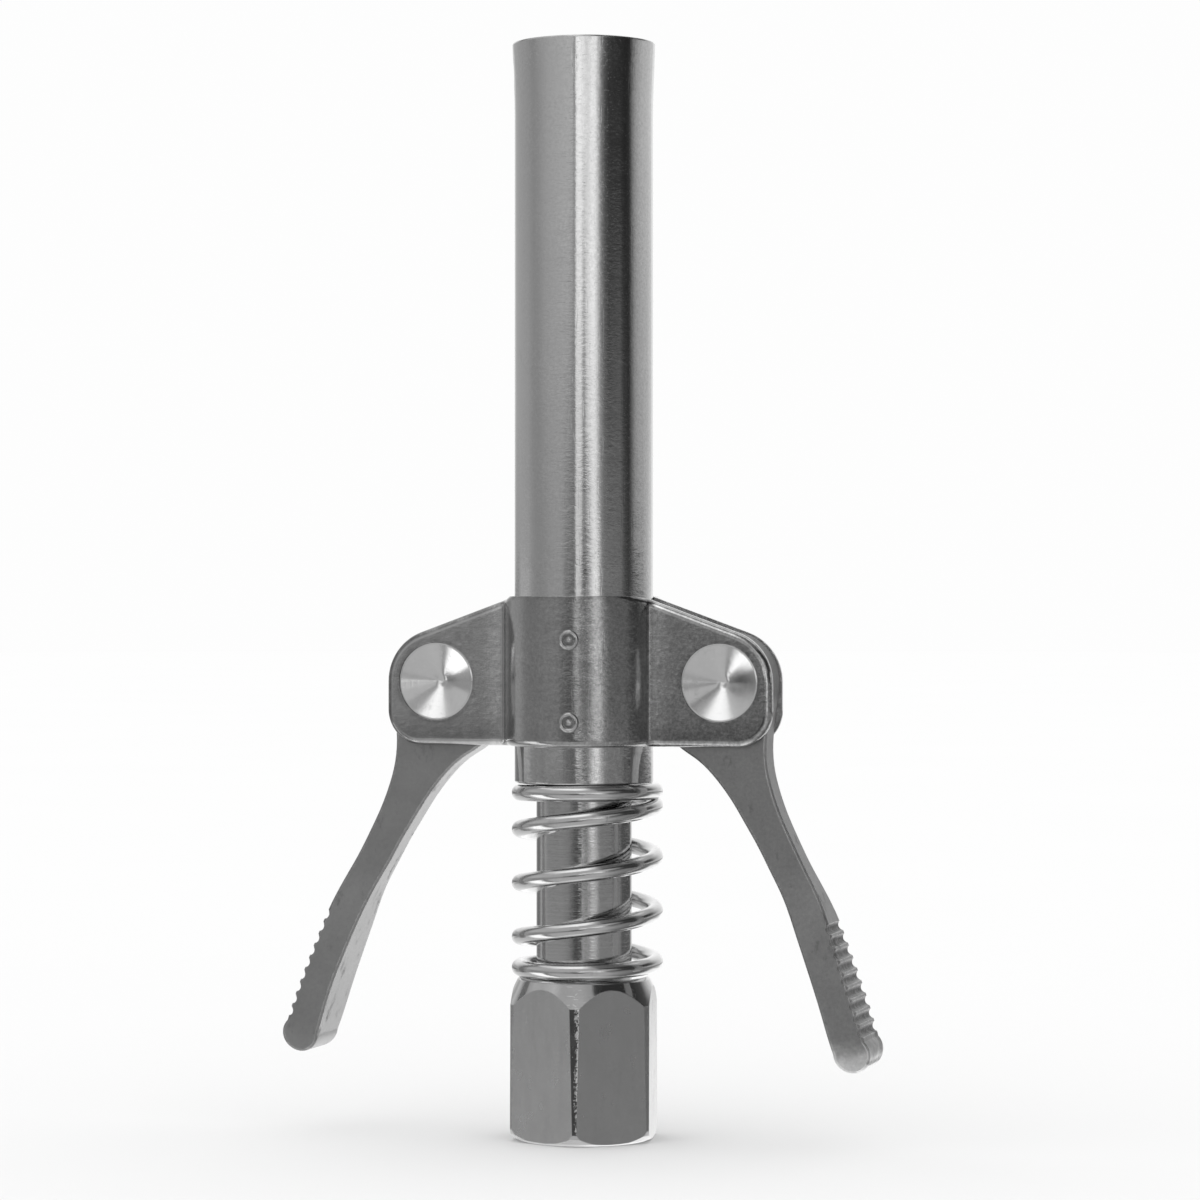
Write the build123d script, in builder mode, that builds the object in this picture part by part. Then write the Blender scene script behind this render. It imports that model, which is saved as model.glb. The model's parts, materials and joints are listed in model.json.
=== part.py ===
from build123d import *
import math
import os

os.makedirs("parts", exist_ok=True)

# Grease coupler with two squeeze levers.
# Frame: origin at the centre of the hexagon's bottom face, +Z towards the mouth
# that takes the grease nipple, levers at -X and +X, bracket front towards -Y.
# All sizes in millimetres.

# ---------------------------------------------------------------- dimensions
# inlet fitting
HEX_AF = 15.0                # across the flats
HEX_CORNER_AZ = -90.0 + 9.35 # one corner stands a little to the right of -Y
HEX_TURN_R = 8.4             # the corners are turned down to this radius below the cone
FIT_H = 17.55                # height of the spring shoulder
FIT_TOP_R = 7.05             # radius of the spring shoulder
FIT_CONE_Z = 14.15           # the shoulder cone meets the hexagon's corners here
THREAD_MINOR_R = 4.35        # 1/8-27 taper pipe thread, drawn parallel
THREAD_MAJOR_R = 4.98
THREAD_PITCH = 0.941
THREAD_LEN = 9.4

# stem (inner tube)
STEM_R = 5.15
STEM_SPIGOT_R = 4.0
STEM_Z0 = 10.8               # bottom end, inside the fitting
STEM_SHOULDER_Z = 14.55
PASSAGE_R = 1.0
VALVE_BORE_R = 2.9
VALVE_BORE_TOP = 29.0

# sleeve (outer tube)
SLEEVE_R = 7.5
SLEEVE_Z0 = 38.42
SLEEVE_Z1 = 118.15
SLEEVE_GUIDE_R = 5.25
SLEEVE_BORE_R = 6.0
SLEEVE_BORE_Z = 92.4
MOUTH_CONE_Z = 114.0
FLARE_Z = 110.3                # the mouth widens a little from here up
FLARE = 0.25
MOUTH_R = 6.8

# bracket
SHEET = 1.1
EAR_Y = 1.95                 # inner face of each ear
EAR_X = 21.5                 # outer edge of the ears
BRK_Z0 = 42.4
BRK_Z1 = 58.5
WRAP_IN_R = 7.52
WRAP_OUT_R = 8.6

# pivots and levers
PIV_X = 15.85
PIV_Z = 49.3
PIN_R = 4.2
EAR_HOLE_R = 4.22
LEVER_HOLE_R = 4.26
EYE_R = 5.5
LEVER_T = 3.6                # thickness between the ears and along the arm
GRIP_T = 7.6                 # thickness of the grip at its fullest
CAM_ARM = 11.1
CAM_ANGLE = 9.1              # the cam arm lies this far below the horizontal
CAM_R = 1.1
TOOTH_PITCH = 1.41
TOOTH_COUNT = 10
SPLAY = 0.85                 # the left lever stands out this much more, the right less

# main spring, which stands loosely round the stem and leans a little to one side
WIRE_R = 0.875
SPRING_R = 7.3
SPRING_X = 0.335
SPRING_Y = 0.10

# jaws
JAW_COUNT = 3
JAW_ARC = 106.0
JAW_IN_R = 4.12
JAW_OUT_R = 5.3
LIP_R = 2.75
JAW_TOP = 117.7


# ------------------------------------------------------------- inlet fitting
# Hexagon bar with its corners turned down, a cone and a flat shoulder for the
# spring on top, a rounded chamfer below, a threaded inlet and a stepped bore for
# the stem.
with BuildPart() as inlet_fitting:
    with BuildSketch(Plane.XY):
        RegularPolygon(radius=HEX_AF / 2, side_count=6, major_radius=False,
                       rotation=HEX_CORNER_AZ)
    extrude(amount=FIT_H)
    with BuildSketch(Plane.XZ):
        with BuildLine():
            # the cone's line starts where it would meet the sharp corners
            sharp = HEX_AF / math.sqrt(3)
            cone_rise = (FIT_H - 0.3 - FIT_CONE_Z) / (sharp - FIT_TOP_R - 0.12)
            Polyline((0, 0), (7.05, 0), (7.75, 0.28), (8.35, 0.85), (8.56, 1.4),
                     (HEX_TURN_R, FIT_CONE_Z + cone_rise * (sharp - HEX_TURN_R)),
                     (FIT_TOP_R + 0.12, FIT_H - 0.3), (FIT_TOP_R - 0.15, FIT_H),
                     (0, FIT_H), close=True)
        make_face()
    revolve(axis=Axis.Z, mode=Mode.INTERSECT)
    # stepped bore: thread minor bore, relief, spigot bore, stem counterbore
    with BuildSketch(Plane.XZ):
        with BuildLine():
            Polyline((0, 0), (THREAD_MAJOR_R + 0.25, 0), (THREAD_MINOR_R, 0.75),
                     (THREAD_MINOR_R, 10.2), (STEM_SPIGOT_R + 0.05, 10.2 + 0.15),
                     (STEM_SPIGOT_R + 0.05, STEM_SHOULDER_Z - 0.05),
                     (STEM_R + 0.05, STEM_SHOULDER_Z - 0.05),
                     (STEM_R + 0.05, FIT_H - 0.25), (STEM_R + 0.3, FIT_H),
                     (0, FIT_H), close=True)
        make_face()
    revolve(axis=Axis.Z, mode=Mode.SUBTRACT)
    # thread grooves, one V groove per pitch
    groove_count = int((THREAD_LEN - 0.9) / THREAD_PITCH)
    with BuildSketch(Plane.XZ):
        for i in range(groove_count):
            gz = 1.25 + i * THREAD_PITCH
            with BuildLine():
                Polyline((THREAD_MINOR_R - 0.3, gz - 0.42), (THREAD_MINOR_R, gz - 0.36),
                         (THREAD_MAJOR_R, gz - 0.05), (THREAD_MAJOR_R, gz + 0.05),
                         (THREAD_MINOR_R, gz + 0.36), (THREAD_MINOR_R - 0.3, gz + 0.42),
                         close=True)
            make_face()
    revolve(axis=Axis.Z, mode=Mode.SUBTRACT)
inlet_fitting.part.label = "inlet_fitting"
export_step(inlet_fitting.part, "parts/inlet_fitting.step")


# ---------------------------------------------------------------------- stem
# Inner tube: spigot and O-ring groove below, lever groove in the middle, hook
# groove and nose tube for the jaws above, valve bore and seal bore inside.
CAM_Z = PIV_Z - CAM_ARM * math.sin(math.radians(CAM_ANGLE))
LEVER_GROOVE_TOP = CAM_Z + CAM_R + 0.12
LEVER_GROOVE_BOT = CAM_Z - CAM_R - 0.30
with BuildPart() as stem:
    with BuildSketch(Plane.XZ):
        with BuildLine():
            Polyline((0, STEM_Z0), (STEM_SPIGOT_R - 0.35, STEM_Z0),
                     (STEM_SPIGOT_R, STEM_Z0 + 0.35), (STEM_SPIGOT_R, 12.1),
                     (3.34, 12.1), (3.34, 13.3), (STEM_SPIGOT_R, 13.3),
                     (STEM_SPIGOT_R, STEM_SHOULDER_Z), (STEM_R, STEM_SHOULDER_Z),
                     (STEM_R, LEVER_GROOVE_BOT), (3.3, LEVER_GROOVE_BOT),
                     (3.3, LEVER_GROOVE_TOP), (4.7, LEVER_GROOVE_TOP),
                     (STEM_R, LEVER_GROOVE_TOP + 0.4),
                     (STEM_R, 92.3), (STEM_R - 0.3, 92.6), (4.3, 92.6), (4.0, 92.85),
                     (3.3, 92.85), (3.3, 95.3), (3.95, 95.3), (3.95, 107.5),
                     (3.65, 107.8), (0, 107.8), close=True)
        make_face()
    revolve(axis=Axis.Z)
    with BuildSketch(Plane.XZ):
        with BuildLine():
            Polyline((0, STEM_Z0), (VALVE_BORE_R, STEM_Z0), (VALVE_BORE_R, VALVE_BORE_TOP - 0.8),
                     (PASSAGE_R, VALVE_BORE_TOP), (PASSAGE_R, 97.3), (3.0, 97.5),
                     (3.0, 107.8), (0, 107.8), close=True)
        make_face()
    revolve(axis=Axis.Z, mode=Mode.SUBTRACT)
stem.part.label = "stem"
export_step(stem.part, "parts/stem.step")


# --------------------------------------------------------------- stem O-ring
with BuildPart() as stem_o_ring:
    with BuildSketch(Plane.XZ):
        with Locations((3.685, 12.7)):
            Circle(0.335)
    revolve(axis=Axis.Z)
stem_o_ring.part.label = "stem_o_ring"
export_step(stem_o_ring.part, "parts/stem_o_ring.step")


# -------------------------------------------------------------------- sleeve
# Long outer tube: guide bore below, wider jaw bore above, conical mouth that
# presses the jaws together, and a slot on each side for the lever cams.
with BuildPart() as sleeve:
    with BuildSketch(Plane.XZ):
        with BuildLine():
            Polyline((SLEEVE_GUIDE_R + 0.3, SLEEVE_Z0), (SLEEVE_R - 0.15, SLEEVE_Z0),
                     (SLEEVE_R, SLEEVE_Z0 + 0.15), (SLEEVE_R, FLARE_Z))
            Spline((SLEEVE_R, FLARE_Z), (SLEEVE_R + 0.075, FLARE_Z + 3.2), (SLEEVE_R + FLARE, SLEEVE_Z1 - 0.2),
                   tangents=((0, 1), (0.035, 1)))
            Polyline((SLEEVE_R + FLARE, SLEEVE_Z1 - 0.2), (SLEEVE_R + FLARE - 0.05, SLEEVE_Z1 - 0.06),
                     (SLEEVE_R + FLARE - 0.2, SLEEVE_Z1),
                     (MOUTH_R + 0.1, SLEEVE_Z1), (MOUTH_R, SLEEVE_Z1 - 0.6),
                     (SLEEVE_BORE_R, MOUTH_CONE_Z), (SLEEVE_BORE_R, SLEEVE_BORE_Z),
                     (SLEEVE_GUIDE_R, SLEEVE_BORE_Z - 0.3),
                     (SLEEVE_GUIDE_R, SLEEVE_Z0 + 0.3), (SLEEVE_GUIDE_R + 0.3, SLEEVE_Z0))
        make_face()
    revolve(axis=Axis.Z)
    with BuildSketch(Plane.YZ):
        with Locations((0, 49.3)):
            RectangleRounded(4.0, 7.0, 0.6)
    extrude(amount=9, both=True, mode=Mode.SUBTRACT)
sleeve.part.label = "sleeve"
export_step(sleeve.part, "parts/sleeve.step")


# ------------------------------------------------------------------- bracket
# Two stampings clasp the sleeve. Seen from above each has two flat ears and a
# half-round wrap; seen from the front the ears slope down to a round end that
# is concentric with the pivot pin.
EAR_ROUND = EAR_X - PIV_X
SLOPE = math.radians(20)
TAN_X = PIV_X + EAR_ROUND * math.sin(SLOPE)      # where the top slope meets the round
TAN_Z = PIV_Z + EAR_ROUND * math.cos(SLOPE)
SLOPE_TOP_X = TAN_X - (BRK_Z1 - TAN_Z) / math.tan(SLOPE)
LOW_R = 3.8


def bracket_half(side):
    """side is -1 for the front stamping and +1 for the rear one."""
    with BuildPart() as half:
        with BuildSketch(Plane.XY.offset(BRK_Z0)) as section:
            Circle(WRAP_OUT_R)
            Circle(WRAP_IN_R, mode=Mode.SUBTRACT)
            with Locations((0, -side * 10 + side * EAR_Y)):
                Rectangle(40, 20, mode=Mode.SUBTRACT)
            with Locations(((7.9 + EAR_X) / 2, side * (EAR_Y + SHEET / 2)),
                           (-(7.9 + EAR_X) / 2, side * (EAR_Y + SHEET / 2))):
                Rectangle(EAR_X - 7.9, SHEET)
            outer = [v for v in section.vertices()
                     if abs(abs(v.Y) - (EAR_Y + SHEET)) < 0.01 and 7.8 < abs(v.X) < 9]
            fillet(outer, 0.6)
        extrude(amount=BRK_Z1 - BRK_Z0)
        with BuildSketch(Plane.XZ):
            with BuildLine():
                l1 = Line((-SLOPE_TOP_X, BRK_Z1), (SLOPE_TOP_X, BRK_Z1))
                l2 = Line(l1 @ 1, (TAN_X, TAN_Z))
                a1 = CenterArc((PIV_X, PIV_Z), EAR_ROUND, 90 - 20, -(90 - 20))
                l3 = Line(a1 @ 1, (EAR_X, BRK_Z0 + LOW_R))
                a2 = CenterArc((EAR_X - LOW_R, BRK_Z0 + LOW_R), LOW_R, 0, -90)
                l4 = Line(a2 @ 1, (-(EAR_X - LOW_R), BRK_Z0))
                a3 = CenterArc((-(EAR_X - LOW_R), BRK_Z0 + LOW_R), LOW_R, -90, -90)
                l5 = Line(a3 @ 1, (-EAR_X, PIV_Z))
                a4 = CenterArc((-PIV_X, PIV_Z), EAR_ROUND, 180, -(90 - 20))
                l6 = Line(a4 @ 1, l1 @ 0)
            make_face()
            with Locations((PIV_X, PIV_Z), (-PIV_X, PIV_Z)):
                Circle(EAR_HOLE_R, mode=Mode.SUBTRACT)
        extrude(amount=14, both=True, mode=Mode.INTERSECT)
        # rolled edge all round the outer face of the ears
        ear_edges = [e for e in half.edges()
                     if all(abs(abs(v.Y) - (EAR_Y + SHEET)) < 0.01 for v in e.vertices())
                     and abs(e.center().X) > 8.9
                     and math.hypot(abs(e.center().X) - PIV_X, e.center().Z - PIV_Z) > 4.5
                     and not (abs(abs((e @ 0).X) - abs((e @ 1).X)) < 0.01
                              and abs((e @ 0).X) < 9.2)]
        fillet(ear_edges, 0.75)
        # two ring shaped stakes on the wrap, one above the other: a round bead with
        # a small dome in its middle
        mark_az = math.radians(-90 + 5.5) if side < 0 else math.radians(90 + 5.5)
        radial = Vector(math.cos(mark_az), math.sin(mark_az), 0)
        for mz in (53.87, 45.1):
            spot = radial * WRAP_OUT_R + Vector(0, 0, mz)
            with BuildSketch(Plane(origin=spot, x_dir=(0, 0, 1),
                                   z_dir=(-radial.Y, radial.X, 0))):
                with BuildLine():
                    Polyline((1.04, -0.10), (1.04, -0.40), (0.66, -0.40), (0.66, -0.05))
                    ThreePointArc((0.66, -0.05), (0.84, 0.15), (1.04, -0.10))
                make_face()
                with BuildLine():
                    Polyline((0.38, -0.05), (0.38, -0.40), (0, -0.40), (0, 0.10))
                    ThreePointArc((0, 0.10), (0.22, 0.06), (0.38, -0.05))
                make_face()
            revolve(axis=Axis(spot, radial))
    return half


bracket_front = bracket_half(-1)
bracket_front.part.label = "bracket_front"
export_step(bracket_front.part, "parts/bracket_front.step")

bracket_rear = bracket_half(1)
bracket_rear.part.label = "bracket_rear"
export_step(bracket_rear.part, "parts/bracket_rear.step")


# ---------------------------------------------------------------- pivot pins
# Plain pins flush with the ears, spread by a deep conical dish in each end.
def pivot_pin(sign):
    with BuildPart() as pin:
        half_len = EAR_Y + SHEET
        with BuildSketch(Plane(origin=(sign * PIV_X, 0, PIV_Z), x_dir=(1, 0, 0),
                               z_dir=(0, 0, 1))):
            with BuildLine():
                Polyline((0, -half_len + 2.3), (4.02, -half_len), (PIN_R, -half_len + 0.06),
                         (PIN_R, half_len - 0.06), (4.02, half_len), (0, half_len - 2.3),
                         close=True)
            make_face()
        revolve(axis=Axis((sign * PIV_X, 0, PIV_Z), (0, 1, 0)))
    return pin


pivot_pin_left = pivot_pin(-1)
pivot_pin_left.part.label = "pivot_pin_left"
export_step(pivot_pin_left.part, "parts/pivot_pin_left.step")

pivot_pin_right = pivot_pin(1)
pivot_pin_right.part.label = "pivot_pin_right"
export_step(pivot_pin_right.part, "parts/pivot_pin_right.step")


# -------------------------------------------------------------------- levers
# Points are given from the pivot, outwards and up, for a lever with no splay.
# Half thickness along the grip, as (half thickness, height from the pivot).
GRIP_SIDE = [(1.8, -18.5), (1.98, -21.0), (2.3, -23.0), (2.75, -25.0), (3.15, -27.0),
             (3.45, -29.5), (3.7, -32.0), (3.8, -34.5), (3.72, -37.0), (3.42, -39.2),
             (2.9, -41.0), (2.55, -42.0)]
GRIP_EASE = 0.25
HANDLE_OUT = [(5.48, -0.6), (5.15, -3.6), (4.9, -6.4), (5.13, -9.3), (5.66, -11.35),
              (6.55, -13.8), (7.75, -16.4), (9.3, -19.45), (10.65, -21.9),
              (12.0, -24.75)]
GRIP_OUT = [(12.62, -26.4), (13.62, -29.15), (14.6, -31.9), (15.6, -34.8),
            (16.42, -37.4)]
TIP_C = (14.95, -38.85)
TIP_R = 2.0
HANDLE_IN = [(13.02, -38.9), (12.45, -37.1), (11.6, -34.3), (10.25, -30.5),
             (8.7, -26.5), (6.95, -22.5), (5.45, -19.8), (4.1, -17.3), (2.65, -14.9),
             (1.35, -12.8), (-0.1, -10.85), (-1.45, -9.35), (-2.75, -8.25),
             (-4.0, -7.45), (-5.3, -6.4), (-6.3, -5.0)]


def turned(points, degrees):
    """Turns points about the pivot, outwards for a positive angle."""
    a = math.radians(degrees)
    return [(x * math.cos(a) - z * math.sin(a), x * math.sin(a) + z * math.cos(a))
            for x, z in points]


def lever(sign, splay):
    plane = Plane(origin=(sign * PIV_X, 0, PIV_Z), x_dir=(sign, 0, 0),
                  z_dir=(0, -sign, 0))
    a = math.radians(CAM_ANGLE)
    nose = (-CAM_ARM * math.cos(a), -CAM_ARM * math.sin(a))
    out_edge = turned(HANDLE_OUT + GRIP_OUT, splay)
    in_edge = turned(HANDLE_IN, splay)
    tip = turned([(TIP_C[0] + TIP_R * math.cos(math.radians(-70)),
                   TIP_C[1] + TIP_R * math.sin(math.radians(-70)))], splay)[0]
    with BuildPart() as body:
        with BuildSketch(plane):
            Circle(EYE_R)
            with Locations(nose):
                Circle(CAM_R)
            with BuildLine():
                Polyline((nose[0], nose[1] + CAM_R), (-3.6, 3.4), (-1.0, -5.0),
                         (-6.3, -4.7), (-7.9, -2.95), (nose[0], nose[1] - CAM_R),
                         close=True)
            make_face()
            with BuildLine():
                s1 = Spline(*out_edge)
                t1 = ThreePointArc(s1 @ 1, tip, in_edge[0])
                s2 = Spline(*in_edge)
                Polyline(s2 @ 1, (-2.0, 0.5), s1 @ 0)
            make_face()
        extrude(amount=GRIP_T / 2 + 0.6, both=True)
        # flat sides along the arm, which swell into the grip and draw in at its tip
        for s in (-1, 1):
            with BuildSketch(Plane(origin=(sign * PIV_X, 0, PIV_Z), x_dir=(0, 1, 0),
                                   z_dir=(1, 0, 0))):
                with BuildLine():
                    swell = Spline(*[(s * y, z) for y, z in GRIP_SIDE])
                    Polyline(swell @ 1, (s * 6, GRIP_SIDE[-1][1]), (s * 6, 8),
                             (s * LEVER_T / 2, 8), swell @ 0)
                make_face()
            extrude(amount=40, both=True, mode=Mode.SUBTRACT)
        # eased long edges of the grip
        def long_edge(e):
            m = e @ 0.5
            return (abs(m.Y) > LEVER_T / 2 + 0.02 and m.Z - PIV_Z < -18.8
                    and abs((e % 0.5).Y) < 0.5)
        grip_edges = [e for e in body.edges() if long_edge(e)]
        chamfer(grip_edges, GRIP_EASE)
        # serrations: round notches across the outer edge of the grip
        teeth = []
        seg = turned([(12.05, -24.85)] + GRIP_OUT, splay)
        dist = 0.95
        for p, q in zip(seg, seg[1:]):
            length = math.hypot(q[0] - p[0], q[1] - p[1])
            ux, uz = (q[0] - p[0]) / length, (q[1] - p[1]) / length
            while dist < length and len(teeth) < TOOTH_COUNT:
                teeth.append((p[0] + ux * dist - uz * 0.17, p[1] + uz * dist + ux * 0.17))
                dist += TOOTH_PITCH
            dist -= length
        with BuildSketch(plane):
            with Locations(*teeth):
                Circle(0.56)
        extrude(amount=6, both=True, mode=Mode.SUBTRACT)
        # bore for the pivot pin
        with BuildSketch(plane):
            Circle(LEVER_HOLE_R)
        extrude(amount=6, both=True, mode=Mode.SUBTRACT)
    return body


lever_left = lever(-1, SPLAY)
lever_left.part.label = "lever_left"
export_step(lever_left.part, "parts/lever_left.step")

lever_right = lever(1, -SPLAY)
lever_right.part.label = "lever_right"
export_step(lever_right.part, "parts/lever_right.step")


# --------------------------------------------------------------- main spring
# Closed ends, open middle turns. Angle in degrees from +X, right-handed.
SPRING_TABLE = [(-215, 18.46), (-180, 18.46), (-135, 18.48), (-90, 18.55), (-45, 18.68),
                (0, 18.95), (45, 19.40), (90, 20.05)]
SPRING_TABLE += [(90 + 45 * i, 20.05 + 0.725 * i) for i in range(1, 21)]
SPRING_TABLE += [(1035, 35.18), (1080, 35.76), (1125, 36.28), (1170, 36.70),
                 (1215, 37.03), (1260, 37.26), (1305, 37.42), (1350, 37.50),
                 (1395, 37.53), (1440, 37.54), (1462, 37.54)]


def spring_height(angle):
    for (a0, z0), (a1, z1) in zip(SPRING_TABLE, SPRING_TABLE[1:]):
        if a0 <= angle <= a1:
            return z0 + (z1 - z0) * (angle - a0) / (a1 - a0)
    return SPRING_TABLE[-1][1]


with BuildPart() as main_spring:
    with BuildLine() as wire_line:
        angles = [a for a, _ in SPRING_TABLE]
        Spline(*[(SPRING_X + SPRING_R * math.cos(math.radians(a)),
                  SPRING_Y + SPRING_R * math.sin(math.radians(a)), z)
                 for a, z in SPRING_TABLE])
    path = wire_line.edges()[0]
    with BuildSketch(Plane(origin=path @ 0, z_dir=path % 0)):
        Circle(WIRE_R)
    sweep(path=path, is_frenet=True)
main_spring.part.label = "main_spring"
export_step(main_spring.part, "parts/main_spring.step")


# ---------------------------------------------------------------------- jaws
# Three hardened jaws hook into the stem's upper groove. Their lips close round
# the nipple's neck, and their outer cones fit the sleeve's mouth.
def jaw(index):
    mid = 90.0 + 360.0 / JAW_COUNT * index
    start = math.radians(mid - JAW_ARC / 2)
    cone = (MOUTH_R - SLEEVE_BORE_R) / (SLEEVE_Z1 - 0.6 - MOUTH_CONE_Z)
    head_r = SLEEVE_BORE_R - 0.12
    with BuildPart() as piece:
        with BuildSketch(Plane(origin=(0, 0, 0), x_dir=(math.cos(start), math.sin(start), 0),
                               z_dir=(math.sin(start), -math.cos(start), 0))):
            with BuildLine():
                Polyline((3.48, 93.2), (5.0, 93.2), (JAW_OUT_R, 93.5), (JAW_OUT_R, 112.4),
                         (head_r, MOUTH_CONE_Z), (head_r + cone * 3.3, MOUTH_CONE_Z + 3.3),
                         (head_r + cone * 3.3 - 0.3, JAW_TOP), (3.65, JAW_TOP),
                         (LIP_R, 116.8), (LIP_R, 115.2), (JAW_IN_R, 113.4),
                         (JAW_IN_R, 95.0), (3.48, 95.0), close=True)
            make_face()
            # seat of the spreading ring in the jaw's inner face
            with Locations((4.42, 98.6)):
                Circle(0.5, mode=Mode.SUBTRACT)
        revolve(axis=Axis.Z, revolution_arc=JAW_ARC)
    return piece


jaw_1 = jaw(0)
jaw_1.part.label = "jaw_1"
export_step(jaw_1.part, "parts/jaw_1.step")

jaw_2 = jaw(1)
jaw_2.part.label = "jaw_2"
export_step(jaw_2.part, "parts/jaw_2.step")

jaw_3 = jaw(2)
jaw_3.part.label = "jaw_3"
export_step(jaw_3.part, "parts/jaw_3.step")


# ------------------------------------------------------------------ jaw ring
# Split spring ring behind the jaws that spreads them when the sleeve is back.
with BuildPart() as jaw_ring:
    with BuildSketch(Plane.XZ):
        with Locations((4.38, 98.6)):
            Circle(0.33)
    revolve(axis=Axis.Z, revolution_arc=338)
jaw_ring.part.label = "jaw_ring"
export_step(jaw_ring.part, "parts/jaw_ring.step")


# ---------------------------------------------------- seal, piston and spring
with BuildPart() as seal_piston:
    with BuildSketch(Plane.XZ):
        with BuildLine():
            Polyline((1.0, 103.15), (2.7, 103.15), (2.95, 103.4), (2.95, 109.4), (3.6, 109.4),
                     (3.6, 111.1), (3.45, 111.25), (2.92, 111.25), (2.92, 110.0),
                     (1.0, 110.0), close=True)
        make_face()
    revolve(axis=Axis.Z)
seal_piston.part.label = "seal_piston"
export_step(seal_piston.part, "parts/seal_piston.step")

with BuildPart() as nose_seal:
    with BuildSketch(Plane.XZ):
        with BuildLine():
            Polyline((0.8, 110.05), (2.86, 110.05), (2.86, 111.5), (2.5, 111.85),
                     (2.1, 111.85), (0.8, 111.1), close=True)
        make_face()
    revolve(axis=Axis.Z)
nose_seal.part.label = "nose_seal"
export_step(nose_seal.part, "parts/nose_seal.step")

with BuildPart() as seal_spring:
    with BuildLine() as seal_line:
        Helix(pitch=1.25, height=5.0, radius=2.5, center=(0, 0, 97.80))
    with BuildSketch(Plane(origin=seal_line.line @ 0, z_dir=seal_line.line % 0)):
        Circle(0.3)
    sweep(path=seal_line.line, is_frenet=True)
seal_spring.part.label = "seal_spring"
export_step(seal_spring.part, "parts/seal_spring.step")


# --------------------------------------------------------------- check valve
BALL_R = 2.0
with BuildPart() as valve_seat:
    with BuildSketch(Plane.XZ):
        with BuildLine():
            Polyline((1.2, 11.2), (2.6, 11.2), (2.86, 11.45), (2.86, 15.0), (1.9, 15.0),
                     (1.2, 14.3), close=True)
        make_face()
    revolve(axis=Axis.Z)
valve_seat.part.label = "valve_seat"
export_step(valve_seat.part, "parts/valve_seat.step")

BALL_Z = 15.0 - (1.9 - BALL_R * math.cos(math.radians(45))) + BALL_R * math.sin(math.radians(45)) + 0.03
with BuildPart() as check_ball:
    with BuildSketch(Plane.XZ):
        with BuildLine():
            Line((0, BALL_Z - BALL_R), (0, BALL_Z + BALL_R))
            ThreePointArc((0, BALL_Z + BALL_R), (BALL_R, BALL_Z), (0, BALL_Z - BALL_R))
        make_face()
    revolve(axis=Axis.Z)
check_ball.part.label = "check_ball"
export_step(check_ball.part, "parts/check_ball.step")

with BuildPart() as ball_spring:
    with BuildLine() as ball_line:
        Helix(pitch=1.3, height=10.8, radius=1.25, center=(0, 0, 17.85))
    with BuildSketch(Plane(origin=ball_line.line @ 0, z_dir=ball_line.line % 0)):
        Circle(0.2)
    sweep(path=ball_line.line, is_frenet=True)
ball_spring.part.label = "ball_spring"
export_step(ball_spring.part, "parts/ball_spring.step")
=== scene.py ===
import bpy
import json
import math
from mathutils import Matrix, Vector


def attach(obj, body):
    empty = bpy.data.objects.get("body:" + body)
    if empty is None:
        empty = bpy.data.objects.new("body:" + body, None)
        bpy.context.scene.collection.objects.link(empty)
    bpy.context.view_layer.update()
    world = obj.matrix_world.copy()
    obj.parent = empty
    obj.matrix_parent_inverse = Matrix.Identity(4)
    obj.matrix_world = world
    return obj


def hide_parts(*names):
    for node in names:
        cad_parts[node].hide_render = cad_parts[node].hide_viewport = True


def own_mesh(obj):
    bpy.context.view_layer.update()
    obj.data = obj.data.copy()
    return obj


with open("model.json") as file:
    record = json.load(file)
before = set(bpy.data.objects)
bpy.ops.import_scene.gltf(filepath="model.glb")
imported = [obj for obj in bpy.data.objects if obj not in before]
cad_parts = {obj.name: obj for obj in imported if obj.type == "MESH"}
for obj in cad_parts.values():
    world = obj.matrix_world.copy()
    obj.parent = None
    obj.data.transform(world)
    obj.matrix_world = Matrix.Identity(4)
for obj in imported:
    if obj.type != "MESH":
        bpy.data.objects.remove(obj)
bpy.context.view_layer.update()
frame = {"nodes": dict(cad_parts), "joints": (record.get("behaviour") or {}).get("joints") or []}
nodes = frame["nodes"]
scene = bpy.context.scene

# ------------------------------------------------------------------ camera
# The camera stands in front and a little to the right, level, at mid height.
VIEW_AZ = 16.5
CAM_DIST = 0.430
CAM_Z = 0.0581
AIM_RIGHT = 0.00172
az = math.radians(VIEW_AZ)
to_cam = Vector((math.sin(az), -math.cos(az), 0.0))
right = Vector((math.cos(az), math.sin(az), 0.0))
cam_data = bpy.data.cameras.new("camera")
cam_data.sensor_width = 36.0
cam_data.lens = 119.4
cam_data.clip_start = 0.02
cam_data.clip_end = 50.0
cam = bpy.data.objects.new("camera", cam_data)
scene.collection.objects.link(cam)
cam.location = to_cam * CAM_DIST + Vector((0, 0, CAM_Z))
aim = right * AIM_RIGHT + Vector((0, 0, CAM_Z))
cam.rotation_euler = (aim - cam.location).to_track_quat("-Z", "Y").to_euler()
scene.camera = cam

scene.view_settings.view_transform = "Standard"
scene.view_settings.look = "None"


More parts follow.
